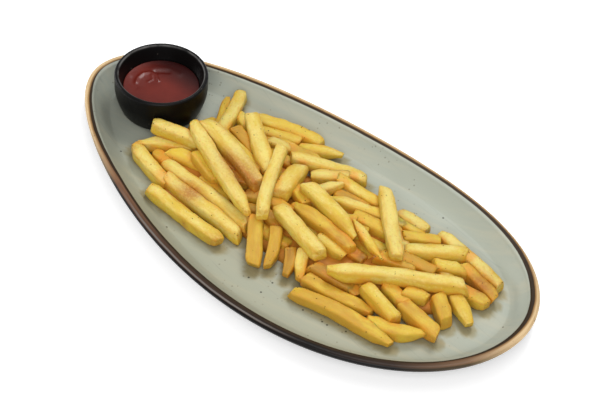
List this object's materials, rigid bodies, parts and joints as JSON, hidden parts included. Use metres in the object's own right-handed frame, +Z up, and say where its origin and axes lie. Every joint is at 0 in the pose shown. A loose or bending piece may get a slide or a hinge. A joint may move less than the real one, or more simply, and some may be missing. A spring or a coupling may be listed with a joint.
{
  "type": "french fries portion",
  "caption": "Long oval stoneware plate with a heap of straight-cut french fries and a small black pot of ketchup at its narrow end.",
  "frame": {"origin": "on the table, under the middle of the plate's bounding box", "axes": "+X along the plate towards its wide end, +Y towards its straighter long side, +Z up"},
  "size_m": [0.365, 0.1848, 0.0393],
  "materials": {
    "plate_glaze": "satin grey-green stoneware glaze with fine brush streaks and dark specks, and a tan and dark brown lip",
    "pot_glaze": "satin black glaze",
    "ketchup": "glossy, dark red brown tomato sauce",
    "fried_potato": "lightly crisp golden fried potato, browner along its edges"
  },
  "bodies": {
    "root": {"plate": "plate_glaze", "dip_pot": "pot_glaze", "ketchup": "ketchup", "fries": "fried_potato"}
  },
  "joints": []
}
